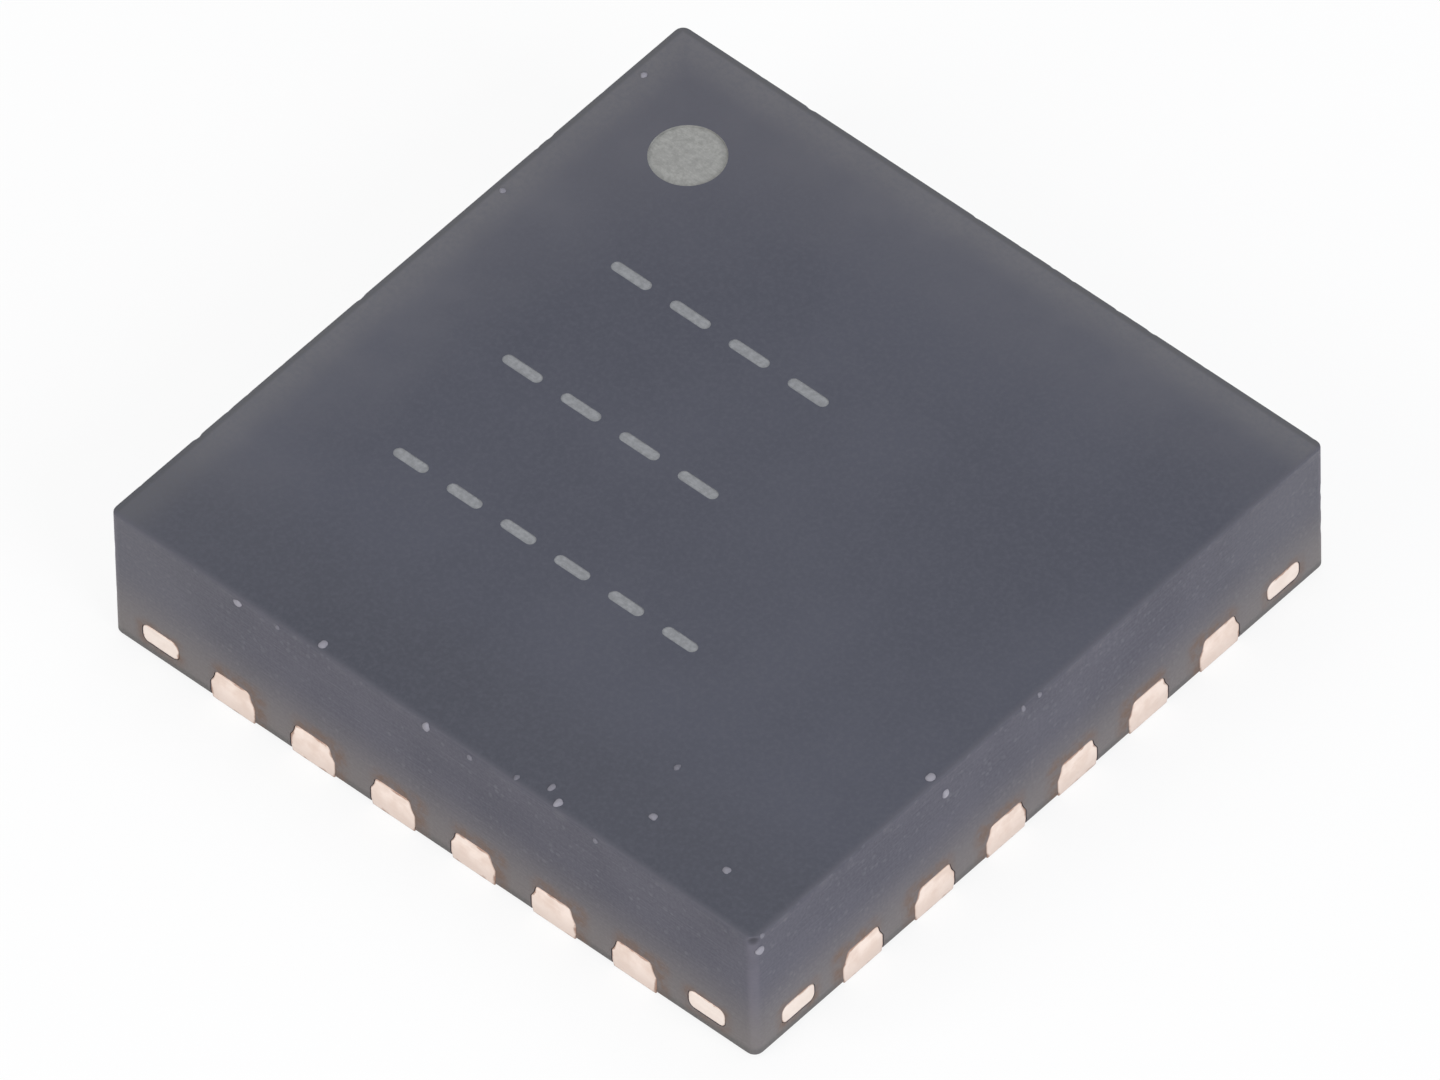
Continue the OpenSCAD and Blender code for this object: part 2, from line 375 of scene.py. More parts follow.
def fill_ledge(mesh, inner, outer):
    """Fills the flat space between two rings of vertices, facing down."""
    bm = bmesh.new()
    bm.from_mesh(mesh)
    bm.verts.ensure_lookup_table()
    loops = []
    for ring in (inner, outer):
        for k, v in enumerate(ring):
            pair = (bm.verts[v], bm.verts[ring[(k + 1) % len(ring)]])
            loops.append(bm.edges.get(pair) or bm.edges.new(pair))
    bmesh.ops.triangle_fill(bm, edges=loops, use_beauty=True, normal=(0, 0, -1))
    bmesh.ops.recalc_face_normals(bm, faces=bm.faces)
    bm.to_mesh(mesh)
    bm.free()


def grid_lines(low, high):
    """Grid lines that crowd at both ends and lie evenly in between."""
    near = np.array(EDGE_LINES[:-1])
    first = low + EDGE_LINES[-1]
    last = high - EDGE_LINES[-1]
    count = int(round((last - first) / EVEN_STEP)) + 1
    return np.concatenate([low + near, np.linspace(first, last, count), high - near[::-1]])


def round_block(p):
    """Rounds the upright edges and the rims of points that lie on a square block."""
    sign = np.sign(p[:, :2])
    size = np.abs(p[:, :2])
    inner = HALF - UPRIGHT_RADIUS
    past = np.maximum(size - inner, 0)
    length = np.hypot(past[:, 0], past[:, 1])
    corner = (past[:, 0] > 0) & (past[:, 1] > 0)
    most = past.max(1)
    inset = np.where(corner, UPRIGHT_RADIUS - most, HALF - size.max(1))
    along_x = (size[:, 0] >= size[:, 1])[:, None]
    past = np.where(corner[:, None], past * (most / np.maximum(length, TINY))[:, None], past)
    size = np.minimum(size, inner) + past
    normal = np.where(along_x, [1.0, 0.0], [0.0, 1.0])
    normal = np.where(corner[:, None], past / np.maximum(most, TINY)[:, None], normal)
    z = p[:, 2].copy()
    top_rise = z - (TOP - TOP_RIM_RADIUS)
    under_rise = UNDER + UNDER_RIM_RADIUS - z
    for radius, rise, way in ((TOP_RIM_RADIUS, top_rise, 1), (UNDER_RIM_RADIUS, under_rise, -1)):
        u = np.maximum(radius - inset, 0)
        v = np.maximum(rise, 0)
        both = (u > 0) & (v > 0)
        factor = np.where(both, np.maximum(u, v) / np.maximum(np.hypot(u, v), TINY), 1.0)
        size = size + normal * (u * factor - u)[:, None]
        z = z + np.where(rise > 0, v * factor - v, 0) * way
    return np.column_stack([sign * size, z])


def saw_nicks():
    """Centre, radius, depth and direction of the chip in the front corner and of every nick."""
    source = random.Random(NICK_SEED)
    nicks = [(CHIP_CENTRE, CHIP_RADIUS, CHIP_DEPTH, CHIP_WAY)]
    for side in range(4):
        turn = Matrix.Rotation(math.radians(90 * side), 3, "Z")
        for _ in range(RIM_NICKS):
            radius = RIM_NICK_RADIUS + RIM_NICK_GROWTH * source.random() ** 3
            along = source.uniform(-HALF, HALF)
            centre = turn @ Vector((HALF - RIM_NICK_INSET, along, TOP - RIM_NICK_INSET))
            depth = radius * source.uniform(*RIM_NICK_DEPTH)
            nicks.append((centre, radius, depth, turn @ Vector((-1, 0, -1))))
        for _ in range(UPRIGHT_NICKS):
            radius = source.uniform(*UPRIGHT_NICK_RADIUS)
            height = source.uniform(UPRIGHT_NICK_END, TOP - UPRIGHT_NICK_END)
            centre = turn @ Vector((HALF - UPRIGHT_NICK_INSET, HALF - UPRIGHT_NICK_INSET, height))
            depth = radius * source.uniform(*UPRIGHT_NICK_DEPTH)
            nicks.append((centre, radius, depth, turn @ Vector((-1, -1, 0))))
    return nicks


def nick_edges(p):
    """Presses the nicks into the points that lie within them."""
    for centre, radius, depth, way in saw_nicks():
        reach = np.linalg.norm(p - np.array(centre), axis=1) / radius
        weight = np.clip(1 - reach * reach, 0, 1)
        p = p + weight[:, None] * depth * np.array(Vector(way).normalized())
    return p


def block_mesh(name):
    """The sawn block: a fine grid at its edges and walls, plain sheets in the middle of top and underside."""
    xs = grid_lines(-HALF, HALF)
    zs = np.concatenate([
        UNDER + np.array(UNDER_LINES),
        np.linspace(EVEN_LOWEST, TOP - EDGE_LINES[-1], EVEN_HEIGHTS),
        TOP - np.array(EDGE_LINES[:-1])[::-1],
    ])
    last = len(xs) - 1
    highest = len(zs) - 1
    index = {}
    points = []
    faces = []

    def vert(i, j, k):
        if (i, j, k) not in index:
            index[i, j, k] = len(points)
            points.append((xs[i], xs[j], zs[k]))
        return index[i, j, k]

    def wall_face(a, b, k):
        """One face of a wall, from the upright grid line a to the line b."""
        faces.append((vert(*a, k), vert(*b, k), vert(*b, k + 1), vert(*a, k + 1)))

    for t in range(last):
        for k in range(highest):
            wall_face((t, 0), (t + 1, 0), k)
            wall_face((t + 1, last), (t, last), k)
            wall_face((0, t + 1), (0, t), k)
            wall_face((last, t), (last, t + 1), k)
    for k, strip in ((0, UNDER_CELLS), (highest, TOP_CELLS)):
        a = strip
        b = last - strip
        for i in range(last):
            for j in range(last):
                if a <= i < b and a <= j < b:
                    continue
                cell = (vert(i, j, k), vert(i + 1, j, k), vert(i + 1, j + 1, k), vert(i, j + 1, k))
                faces.append(cell if k else cell[::-1])
        loop = [vert(i, a, k) for i in range(a, b)] + [vert(b, j, k) for j in range(a, b)]
        loop += [vert(i, b, k) for i in range(b, a, -1)] + [vert(a, j, k) for j in range(b, a, -1)]
        faces.append(tuple(loop if k else loop[::-1]))
    made = bpy.data.meshes.new(name)
    made.from_pydata([tuple(p) for p in nick_edges(round_block(np.array(points)))], [], faces)
    made.validate()
    return made


def prism(shell, outline, low, high):
    """A straight column over a convex outline."""
    rings = [shell.add([(x, y, z) for x, y in outline]) for z in (low, high)]
    shell.join(*rings)
    shell.faces.append(tuple(reversed(rings[0])))
    shell.faces.append(tuple(rings[1]))


def dashes():
    """Outlines of the laser-scribed dashes, with round ends."""
    made = []
    half = DASH_WIDTH / 2
    for left, right, y, count in MARK_ROWS:
        length = (right - left - DASH_GAP * (count - 1)) / count
        for k in range(count):
            start = left + k * (length + DASH_GAP)
            right_end = arc(start + length - half, y, half, -90, 180, DASH_END_STEPS)
            left_end = arc(start + half, y, half, 90, 180, DASH_END_STEPS)
            made.append(right_end + left_end)
    return made


def put(name, mesh):
    """An object for a mesh, linked to the scene."""
    made = bpy.data.objects.new(name, mesh)
    bpy.context.scene.collection.objects.link(made)
    return made


def body_mesh():
    """The block with every pocket, the pin-1 mark and the dashes cut out of it."""
    tools = Shell()
    for i in LEAD_NUMBERS:
        lead_shell(tools, lead_place(i), wall=HALF + REACH, grow=HAIRLINE, sawn=False)
    circle = arc(*DOT_CENTRE, DOT_RADIUS, 0, 360, DOT_STEPS)[:-1]
    prism(tools, circle, TOP - DOT_DEPTH, TOP + REACH)
    for outline in dashes():
        prism(tools, outline, TOP - DASH_DEPTH, TOP + REACH)
    pad_tool = pad_mesh("pad cutter", wall=HALF + REACH, grow=HAIRLINE, sawn=False)
    block = put("block", block_mesh("block"))
    cutters = [put("cutter", tools.mesh("cutter")), put("pad cutter", pad_tool)]
    for cutter in cutters:
        cut = block.modifiers.new("cut", "BOOLEAN")
        cut.operation = "DIFFERENCE"
        cut.solver = "EXACT"
        cut.object = cutter
    graph = bpy.context.evaluated_depsgraph_get()
    made = bpy.data.meshes.new_from_object(block.evaluated_get(graph))
    for helper in [block, *cutters]:
        bpy.data.objects.remove(helper)
    bm = bmesh.new()
    bm.from_mesh(made)
    bmesh.ops.remove_doubles(bm, verts=bm.verts, dist=WELD)
    bm.to_mesh(made)
    bm.free()
    made.name = "body"
    return made


def dust_mesh():
    """Flattened, lumpy specks lying on the top and clinging to the walls."""
    source = random.Random(DUST_SEED)
    lump_a, lump_b = DUST_LUMPS
    bm = bmesh.new()
    shade = bm.verts.layers.float.new("pale")
    for face_origin, face_side, face_over, specks in DUSTY_FACES:
        origin = Vector(face_origin)
        side = Vector(face_side)
        over = Vector(face_over)
        out = side.cross(over)
        for a, b, radius, pale in specks:
            middle = origin + side * a + over * b
            squash = source.uniform(*DUST_SQUASH)
            phase = source.uniform(*DUST_PHASE)
            for v in bmesh.ops.create_icosphere(bm, subdivisions=DUST_DETAIL, radius=1.0)["verts"]:
                swell = 1 + lump_a * math.sin(3 * v.co.x + phase) + lump_b * math.sin(4 * v.co.y + 2 * phase)
                flat = side * (squash * swell * v.co.x) + over * (swell / squash * v.co.y)
                v[shade] = pale
                v.co = middle + flat * radius + out * (DUST_RISE * radius * (v.co.z - DUST_SINK))
    made = bpy.data.meshes.new("dust")
    bm.to_mesh(made)
    bm.free()
    return made


def finish_mesh(mesh, angle):
    """Scales a mesh to metres and shades it smooth except across sharp edges."""
    mesh.transform(Matrix.Scale(MM, 4))
    mesh.polygons.foreach_set("use_smooth", [True] * len(mesh.polygons))
    mesh.set_sharp_from_angle(angle=math.radians(angle))
    mesh.update()


def sort_faces(mesh, top, wall, mark):
    """Gives each face of the finished body its material: moulded, sawn or burnt by the laser."""
    for material in (top, wall, mark):
        mesh.materials.append(material)
    edge = (HALF - EDGE_STRIP) * MM
    mark_low = (TOP - 2 * DOT_DEPTH) * MM
    mark_high = (TOP - 0.2 * DASH_DEPTH) * MM
    flat_high = (TOP - FLAT_FINISH_DROP) * MM
    steep_high = (TOP - STEEP_FINISH_DROP) * MM
    for face in mesh.polygons:
        x, y, z = face.center
        slope = face.normal.z
        inner = abs(x) < edge and abs(y) < edge
        sawn = slope > -STEEP_SLOPE and (z < flat_high or (slope < STEEP_SLOPE and z < steep_high))
        if inner and mark_low < z < mark_high:
            face.material_index = 2
        elif not inner and sawn:
            face.material_index = 1
        else:
            face.material_index = 0


class Graph:
    """Node graph of one material or world, with short calls to add and link nodes."""

    def __init__(self, owner):
        owner.use_nodes = True
        self.tree = owner.node_tree
        self.tree.nodes.clear()

    def fill(self, spot, value):
        """Links a socket to another node's socket, or sets it. A colour is opaque."""
        if isinstance(value, bpy.types.NodeSocket):
            self.tree.links.new(value, spot)
        else:
            spot.default_value = (*value, 1.0) if spot.type == "RGBA" else value

    def add(self, kind, settings=None, **sockets):
        """A node of this kind. Sockets are set by name (underscores for spaces) or position (in0, in1)."""
        node = self.tree.nodes.new("ShaderNode" + kind)
        for name, value in (settings or {}).items():
            setattr(node, name, value)
        for name, value in sockets.items():
            by_position = name[:2] == "in" and name[2:].isdigit()
            self.fill(node.inputs[int(name[2:]) if by_position else name.replace("_", " ")], value)
        return node

    def maths(self, what, *values):
        """Result of a sum, product or other operation on one or two values."""
        sockets = {"in%d" % k: value for k, value in enumerate(values)}
        return self.add("Math", {"operation": what}, **sockets).outputs[0]

    def times(self, a, b):
        """Product of two values."""
        return self.maths("MULTIPLY", a, b)

    def ramp(self, value, low, high, out_low=0.0, out_high=1.0):
        """Value moved smoothly from one range to another."""
        limits = {"in1": low, "in2": high, "in3": out_low, "in4": out_high}
        return self.add("MapRange", {"interpolation_type": "SMOOTHSTEP"}, in0=value, **limits).outputs[0]

    def blend(self, factor, a, b, how="MIX"):
        """Colour b over colour a."""
        return self.add("Mix", {"data_type": "RGBA", "blend_type": how}, in0=factor, in6=a, in7=b).outputs[2]

    def tint(self, colour, over, value, start, full, most=1.0):
        """A colour laid over another: none of it where value is start, most of it where value is full."""
        return self.blend(self.ramp(value, start, full, 0.0, most), colour, over)

    def millimetres(self):
        """Object coordinates in millimetres."""
        place = self.add("TexCoord").outputs["Object"]
        return self.add("VectorMath", {"operation": "SCALE"}, in0=place, Scale=1 / MM).outputs[0]

    def split(self, vector):
        """The three coordinates of a vector."""
        return self.add("SeparateXYZ", in0=vector).outputs

    def distance(self, place, point):
        """Distance of a place from a fixed point."""
        return self.add("VectorMath", {"operation": "DISTANCE"}, in0=place, in1=point).outputs["Value"]

    def attribute(self, name):
        """The value that the mesh stores under this name."""
        return self.add("Attribute", {"attribute_name": name}).outputs["Fac"]

    def noise(self, place, scale, detail=3.0, rough=0.55):
        """Soft noise around one half."""
        return self.add("TexNoise", Vector=place, Scale=scale, Detail=detail, Roughness=rough).outputs[0]

    def stretched(self, place, x, y, z):
        """A place with its coordinates multiplied."""
        return self.add("VectorMath", {"operation": "MULTIPLY"}, in0=place, in1=(x, y, z)).outputs[0]

    def bump(self, height, depth, strength):
        """Surface normal of a fine relief, this deep in millimetres."""
        return self.add("Bump", Height=height, Distance=depth * MM, Strength=strength).outputs[0]

    def shade(self, **sockets):
        """Ends the graph of a material with its surface shader."""
        shader = self.add("BsdfPrincipled", **sockets).outputs[0]
        self.add("OutputMaterial", Surface=shader)


def new_material(name):
    """An empty material and its node graph."""
    made = bpy.data.materials.new(name)
    return made, Graph(made)


def from_middle(g, x, y):
    """Distance from the middle of a wall, on each of the four walls."""
    return g.maths("MINIMUM", g.maths("ABSOLUTE", x), g.maths("ABSOLUTE", y))


def blade_lines(g, place, along, up):
    """Streaks that the saw blade leaves along a wall, by the noise's scale along it and up it."""
    x, y, z = g.split(place)
    flat = g.add("CombineXYZ", in0=g.maths("ADD", x, y), in1=z, in2=0.0).outputs[0]
    return g.noise(g.stretched(flat, along, up, 1.0), scale=1.0, detail=4.0, rough=0.6)


# Colours of the moulded top: middle, painted light that is paler towards the back walls and the pin-1 corner,
# bands along the back and front walls, and grain
SLATE_DARK = (0.05, 0.053, 0.073)
SLATE_LIGHT = (0.06, 0.063, 0.085)
PAINTED_BACK_LIGHT = (0.1, 0.1, 0.118)
PAINTED_PIN_1_LIGHT = (0.105, 0.1, 0.112)
BACK_BAND = (0.14, 0.136, 0.142)
BACK_LINE = (0.07, 0.07, 0.074)
FRONT_SHADE = (0.04, 0.042, 0.053)
FRONT_LINE = (0.088, 0.086, 0.106)
TOP_GRAIN = (0.095, 0.098, 0.118)


def moulded_top():
    """Matte moulded epoxy: even grain, and painted light that makes it paler, in patches, towards the pin-1
    corner and its two walls.
    """
    made, g = new_material("moulded epoxy")
    place = g.millimetres()
    x, y, _ = g.split(place)
    back = g.maths("MAXIMUM", g.times(x, -1.0), y)
    front = g.maths("MAXIMUM", x, g.times(y, -1.0))
    far = g.maths("SUBTRACT", y, x)
    cloud = g.noise(place, scale=0.9, detail=4.0)
    grain = g.noise(place, scale=42.0, detail=4.0, rough=0.65)
    patches = g.ramp(g.noise(place, scale=3.0, detail=5.0), 0.3, 0.75, out_low=0.4, out_high=0.85)
    # Painted light: paler in patches towards the back walls, fading towards the front
    painted_light = g.times(g.ramp(back, low=1.2, high=HALF), patches)
    painted_light = g.times(painted_light, g.ramp(far, low=-3.2, high=1.5))
    colour = g.tint(SLATE_DARK, SLATE_LIGHT, cloud, start=0.32, full=0.68)
    colour = g.blend(painted_light, colour, PAINTED_BACK_LIGHT)
    # Painted light: paler still towards the pin-1 corner
    colour = g.tint(colour, PAINTED_PIN_1_LIGHT, far, start=1.2, full=3.6, most=0.3)
    colour = g.tint(colour, BACK_BAND, back, start=1.74, full=1.95, most=0.5)
    colour = g.tint(colour, BACK_LINE, back, start=1.955, full=1.975, most=0.7)
    colour = g.tint(colour, FRONT_SHADE, y, start=-1.2, full=-1.75, most=0.4)
    colour = g.tint(colour, FRONT_LINE, front, start=1.955, full=2.005, most=0.9)
    colour = g.tint(colour, TOP_GRAIN, grain, start=0.35, full=0.75, most=0.45)
    rough = g.ramp(grain, 0.3, 0.7, out_low=0.5, out_high=0.68)
    normal = g.bump(grain, depth=0.0022, strength=0.7)
    g.shade(Base_Color=colour, Roughness=rough, Normal=normal, Specular_IOR_Level=0.26)
    return made


# Copper smear is dragged this far along a wall, and spreads this far past a terminal and past a tip
SMEAR_SHIFT = 0.045
SMEAR_REACH = 0.1
TIP_SMEAR_REACH = 0.085
# It is at its fullest within this distance
SMEAR_FULL = 0.01
# It starts this far above a terminal, and this far inside the outline of a tip
SMEAR_OVER = 0.015
TIP_SMEAR_INSET = 0.02
# A row of terminals, with half a pitch to spare, ends this far from the middle of its wall
ROW_END = LEADS_PER_SIDE * PITCH / 2
# Surfaces within this distance of a wall are part of it
WALL_SKIN = 0.02


def copper_smear(g, x, y, z):
    """Closeness to a copper end: 1 at its outline, falling away over about a tenth of a millimetre."""

    def close(out, over, reach):
        gap = g.maths("SQRT", g.maths("ADD", g.times(out, out), g.times(over, over)))
        return g.ramp(gap, reach, SMEAR_FULL)

    def beyond(value, limit):
        return g.maths("MAXIMUM", g.maths("SUBTRACT", value, limit), 0.0)

    def off(value, middle):
        return g.maths("ABSOLUTE", g.maths("SUBTRACT", value, middle))

    walls = []
    for a, b, shift in ((x, y, -SMEAR_SHIFT), (y, x, SMEAR_SHIFT)):
        on_wall = g.ramp(g.maths("ABSOLUTE", b), HALF - 2 * WALL_SKIN, HALF - WALL_SKIN)
        size = g.maths("ABSOLUTE", a)
        step = g.maths("WRAP", g.maths("ADD", a, shift), PITCH, 0.0)
        out = beyond(off(step, PITCH / 2), BOND_FLAT_WIDTH / 2)
        lead = close(out, beyond(z, SHEET + SMEAR_OVER), SMEAR_REACH)
        lead = g.times(g.ramp(size, ROW_END, ROW_END - SMEAR_FULL), lead)
        tip_out = beyond(off(size, TIE_TIP_OFFSET), TIE_TIP_WIDTH / 2 - TIP_SMEAR_INSET)
        tip_over = beyond(off(z, (SHEET + HALF_ETCH) / 2), (SHEET - HALF_ETCH) / 2 - TIP_SMEAR_INSET)
        tip = close(tip_out, tip_over, TIP_SMEAR_REACH)
        walls.append(g.times(on_wall, g.maths("MAXIMUM", lead, tip)))
    return g.maths("MAXIMUM", *walls)


def filler_grains(g, place):
    """The few grains of filler that show where the saw has cut them: 1 inside a grain."""
    cells = g.add("TexVoronoi", {"feature": "F1"}, Vector=place, Scale=24.0).outputs
    pick = g.add("SeparateColor", in0=cells["Color"]).outputs[0]
    return g.times(g.ramp(cells["Distance"], 0.38, 0.2), g.ramp(pick, 0.7, 0.8))


# Colours of the sawn walls, of what lies on them and of their worn top edges, with a painted highlight on the
# upright edges, painted light and shade low on the walls and painted shade in the broken corner
SAWN_DARK = (0.074, 0.073, 0.095)
SAWN_LIGHT = (0.09, 0.088, 0.112)
BLADE_LINE = (0.115, 0.112, 0.136)
FILLER = (0.18, 0.18, 0.2)
FAR_WALL = (0.128, 0.127, 0.142)
WORN_LIP = (0.19, 0.185, 0.195)
PAINTED_UPRIGHT_HIGHLIGHT = (0.128, 0.121, 0.148)
PAINTED_FLOOR_BOUNCE = (0.18, 0.163, 0.158)
PAINTED_BOTTOM_SHADE = (0.085, 0.086, 0.084)
CHIP_SHADE = (0.035, 0.036, 0.045)
SMEAR_BROWN = (0.15, 0.098, 0.075)


def sawn_epoxy():
    """Sawn epoxy: fine blade lines, cut filler grains, worn top edges, a painted highlight on the upright
    edges, painted light and shade low on the walls, and copper smear beside the terminals.
    """
    made, g = new_material("sawn epoxy")
    place = g.millimetres()
    x, y, z = g.split(place)
    far = g.maths("SUBTRACT", y, x)
    cloud = g.noise(place, scale=2.2, detail=4.0)
    grain = g.noise(place, scale=55.0, detail=3.0, rough=0.6)
    lines = blade_lines(g, place, along=1.3, up=75.0)
    lip_patches = g.ramp(g.noise(place, scale=7.0, detail=5.0), 0.45, 0.7)
    lip = g.times(g.ramp(z, low=TOP - 0.07, high=TOP - 0.005), lip_patches)
    # The upright edges get a painted highlight, in patches
    upright_patches = g.ramp(g.noise(place, scale=5.0, detail=4.0), 0.3, 0.6, out_low=0.5, out_high=0.9)
    upright = g.times(g.ramp(from_middle(g, x, y), low=1.94, high=1.98), upright_patches)
    chip = g.distance(place, CHIP_CENTRE)
    smear_noise = g.noise(place, scale=14.0, detail=4.0, rough=0.65)
    smear = g.times(copper_smear(g, x, y, z), g.ramp(smear_noise, 0.36, 0.62, out_low=0.25, out_high=1.0))
    colour = g.tint(SAWN_DARK, SAWN_LIGHT, cloud, start=0.3, full=0.7)
    colour = g.tint(colour, BLADE_LINE, lines, start=0.45, full=0.75, most=0.35)
    colour = g.blend(g.times(filler_grains(g, place), 0.22), colour, FILLER)
    colour = g.tint(colour, FAR_WALL, far, start=-1.3, full=0.0, most=0.4)
    colour = g.blend(g.times(lip, 0.2), colour, WORN_LIP)
    # Painted highlight: paler upright edges
    colour = g.blend(upright, colour, PAINTED_UPRIGHT_HIGHLIGHT)
    # Painted light: the walls grow paler towards the bottom, as light thrown up from the floor would make
    # them
    colour = g.tint(colour, PAINTED_FLOOR_BOUNCE, z, start=0.54, full=0.06, most=0.82)
    # Painted shade: a dark band along the foot of the walls
    colour = g.tint(colour, PAINTED_BOTTOM_SHADE, z, start=0.075, full=0.04, most=0.5)
    colour = g.tint(colour, CHIP_SHADE, chip, start=CHIP_RADIUS, full=0.4 * CHIP_RADIUS, most=0.75)
    colour = g.blend(g.times(smear, 0.85), colour, SMEAR_BROWN)
    rough = g.ramp(grain, 0.3, 0.7, out_low=0.48, out_high=0.66)
    normal = g.bump(g.maths("ADD", lines, g.times(grain, 0.6)), depth=0.0025, strength=0.8)
    g.shade(Base_Color=colour, Roughness=rough, Normal=normal, Specular_IOR_Level=0.24)
    return made


# Colours of the laser marks. The last one darkens the dashes against the dot
MARK_DARK = (0.235, 0.235, 0.225)
MARK_LIGHT = (0.33, 0.33, 0.315)
SCAN_LINE = (0.25, 0.25, 0.245)
DASH_SHADE = (0.84, 0.86, 0.94)


def laser_mark():
    """Epoxy burnt pale by the marking laser, with its scan lines."""
    made, g = new_material("laser mark")
    place = g.millimetres()
    scan = g.noise(g.stretched(place, 4.0, 90.0, 1.0), scale=1.0, detail=3.0)
    grain = g.noise(place, scale=40.0, detail=4.0, rough=0.65)
    past_dot = g.ramp(g.distance(place, (*DOT_CENTRE, TOP)), 1.1 * DOT_RADIUS, 1.3 * DOT_RADIUS)
    colour = g.tint(MARK_DARK, MARK_LIGHT, grain, start=0.3, full=0.7)
    colour = g.tint(colour, SCAN_LINE, scan, start=0.4, full=0.7, most=0.5)
    colour = g.blend(past_dot, colour, DASH_SHADE, "MULTIPLY")
    normal = g.bump(g.maths("ADD", grain, scan), depth=0.003, strength=0.8)
    g.shade(Base_Color=colour, Roughness=0.75, Normal=normal, Specular_IOR_Level=0.3)
    return made


# Colours of the sawn copper, with painted shade towards the bottom of each terminal, and of the tin on the
# undersides
COPPER_DARK = (0.79, 0.655, 0.58)
COPPER_LIGHT = (0.89, 0.775, 0.71)
COPPER_LINE = (0.93, 0.86, 0.81)
PAINTED_COPPER_SHADE = (0.71, 0.605, 0.55)
COPPER_TIP = (0.86, 0.785, 0.735)
COPPER_STAIN = (0.3, 0.16, 0.11)
TIN_DARK = (0.56, 0.56, 0.545)
TIN_LIGHT = (0.7, 0.7, 0.685)


def lead_copper():
    """Bare sawn copper on the walls, brown at its outline and with painted shade towards its bottom, and
    matte tin on the undersides.
    """
    made, g = new_material("sawn copper and tin")
    place = g.millimetres()
    x, y, z = g.split(place)
    lines = blade_lines(g, place, along=3.0, up=95.0)
    patch = g.noise(place, scale=9.0, detail=4.0)
    grain = g.noise(place, scale=60.0, detail=3.0)
    spots = g.ramp(g.noise(place, scale=11.0, detail=3.0), 0.45, 0.75, out_low=0.0, out_high=0.6)
    stain = g.maths("ADD", g.attribute("rim"), spots)
    under = g.ramp(g.split(g.add("NewGeometry").outputs["Normal"])[2], -0.6, -0.85)
    copper = g.tint(COPPER_DARK, COPPER_LIGHT, patch, start=0.35, full=0.65)
    copper = g.tint(copper, COPPER_LINE, lines, start=0.5, full=0.75, most=0.45)
    # Painted shade: the copper darkens towards the bottom, leaving its upper part lighter
    copper = g.tint(copper, PAINTED_COPPER_SHADE, z, start=0.16, full=0.0, most=0.8)
    copper = g.tint(copper, COPPER_TIP, from_middle(g, x, y), start=1.5, full=1.58, most=0.6)
    copper = g.tint(copper, COPPER_STAIN, stain, start=0.5, full=1.15, most=0.8)
    tin = g.tint(TIN_DARK, TIN_LIGHT, grain, start=0.3, full=0.7)
    colour = g.blend(under, copper, tin)
    rough = g.ramp(lines, 0.3, 0.7, out_low=0.52, out_high=0.64)
    rough = g.maths("ADD", rough, g.times(under, -0.08))
    normal = g.bump(g.maths("ADD", lines, g.times(grain, 0.5)), depth=0.0016, strength=0.6)
    g.shade(Base_Color=colour, Metallic=1.0, Roughness=rough, Normal=normal)
    return made


# Colours of the pieces inside the body
SILICON_DARK = (0.14, 0.15, 0.17)
SILICON_LIGHT = (0.2, 0.2, 0.23)
ADHESIVE_DARK = (0.5, 0.5, 0.48)
ADHESIVE_LIGHT = (0.68, 0.68, 0.66)
GOLD_DARK = (0.85, 0.6, 0.2)
GOLD_LIGHT = (0.93, 0.7, 0.3)


def mottled(name, dark, light, rough, metallic, scale):
    """A mottled metal or filled resin for the pieces inside the body."""
    made, g = new_material(name)
    grain = g.noise(g.millimetres(), scale, detail=4.0)
    colour = g.tint(dark, light, grain, start=0.3, full=0.7)
    finish = g.ramp(grain, 0.3, 0.7, out_low=rough, out_high=rough + 0.12)
    normal = g.bump(grain, depth=0.001, strength=0.5)
    g.shade(Base_Color=colour, Metallic=metallic, Roughness=finish, Normal=normal)
    return made


# Colours of dust
DUST_DARK = (0.12, 0.12, 0.145)
DUST_PALE = (0.33, 0.32, 0.36)
DUST_GRAIN = (0.25, 0.24, 0.27)


def dust_material():
    """Dust from dark to pale grey, by the paleness that the mesh stores for each speck."""
    made, g = new_material("dust")
    grain = g.noise(g.millimetres(), scale=120.0, detail=4.0)
    colour = g.blend(g.attribute("pale"), DUST_DARK, DUST_PALE)
    colour = g.tint(colour, DUST_GRAIN, grain, start=0.3, full=0.7, most=0.3)
    g.shade(Base_Color=colour, Roughness=0.9, Specular_IOR_Level=0.2)
    return made


# Floor and surround, and how much of the floor's colour is plain white where the camera sees it
FLOOR_SIZE = 600
FLOOR_DARK = (0.86, 0.86, 0.86)
FLOOR_LIGHT = (0.88, 0.88, 0.88)
FLOOR_WHITE = 0.86
WHITE = (1.0, 1.0, 1.0)
SURROUND = (0.93, 0.96, 1.0)
SURROUND_STRENGTH = 0.42
# Lamps as name, place, width, power in watts and colour. They all point at one spot in the body
LAMP_TARGET = (0, 0, 0.4)
LAMPS = (
    ("front left softbox", (-20, -60, 35), 45, 0.023, (1.0, 0.97, 0.93)),
    ("front right softbox", (62, -8, 32), 45, 0.032, (0.96, 0.97, 1.0)),
    ("overhead softbox", (-10, 20, 70), 60, 0.016, (1.0, 1.0, 1.0)),
)


